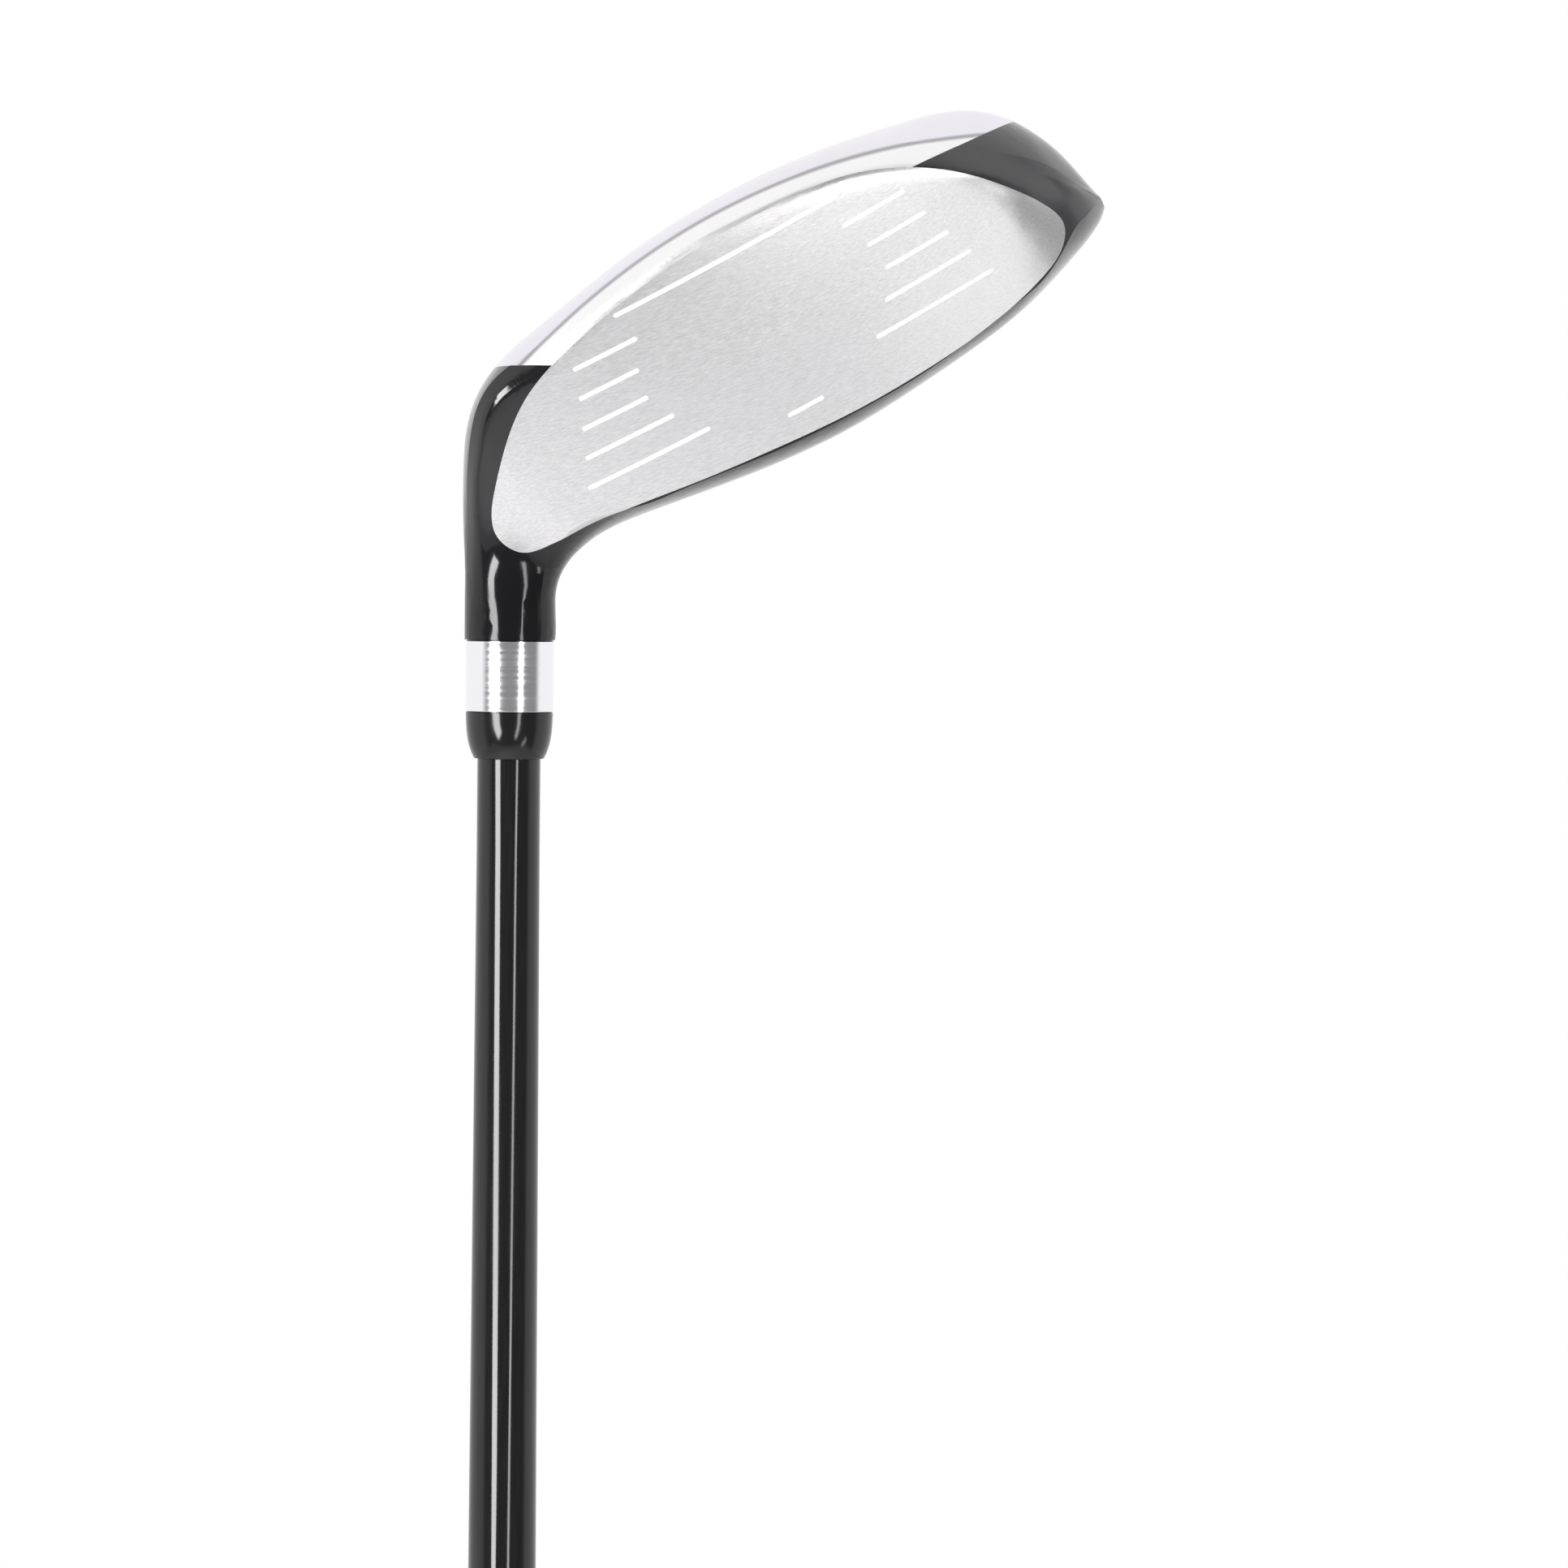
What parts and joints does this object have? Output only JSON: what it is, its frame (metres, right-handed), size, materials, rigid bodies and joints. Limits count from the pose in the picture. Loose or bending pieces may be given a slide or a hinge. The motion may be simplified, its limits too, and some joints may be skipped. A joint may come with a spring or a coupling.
{
  "type": "hybrid golf club",
  "caption": "Right-handed hybrid golf club: hollow steel head with bulged, scored face, polished hosel ring, ferrule, tapered graphite shaft and rubber grip.",
  "frame": {"origin": "centre of the butt end of the grip, on the shaft axis", "axes": "+Z along the shaft toward the head, -Y is the way the face looks when seen square to the shaft and the ground line, +X is the toe side; the ground line of the head lies 61 degrees from the shaft in the XZ plane"},
  "size_m": [0.101, 0.0592, 1.045],
  "materials": {
    "head_paint": "deep gloss black lacquer on cast steel; the sole and the strip under the leading edge are bare polished steel",
    "face_steel": "finely blasted and brushed steel",
    "white_paint": "matt white fill",
    "hot_melt": "dull hot-melt glue",
    "plug_rubber": "matt",
    "epoxy": "cured adhesive",
    "polished_metal": "mirror polished",
    "ferrule_plastic": "polished black",
    "graphite": "gloss black clear coat over carbon fibre",
    "brass": "turned",
    "tape": "paper-backed adhesive tape",
    "grip_rubber": "matt moulded rubber with a fine texture",
    "cap_rubber": "smooth matt rubber"
  },
  "bodies": {
    "root": {"head_body": "head_paint", "face_plate": "face_steel", "score_paint": "white_paint", "crown_plate": "head_paint", "glue_pad": "hot_melt", "hosel_plug": "plug_rubber", "hosel_epoxy": "epoxy", "hosel_ring": "polished_metal", "ferrule": "ferrule_plastic", "shaft": "graphite", "tip_weight": "brass", "grip_tape": "tape", "grip": "grip_rubber", "grip_cap": "cap_rubber"}
  },
  "joints": []
}
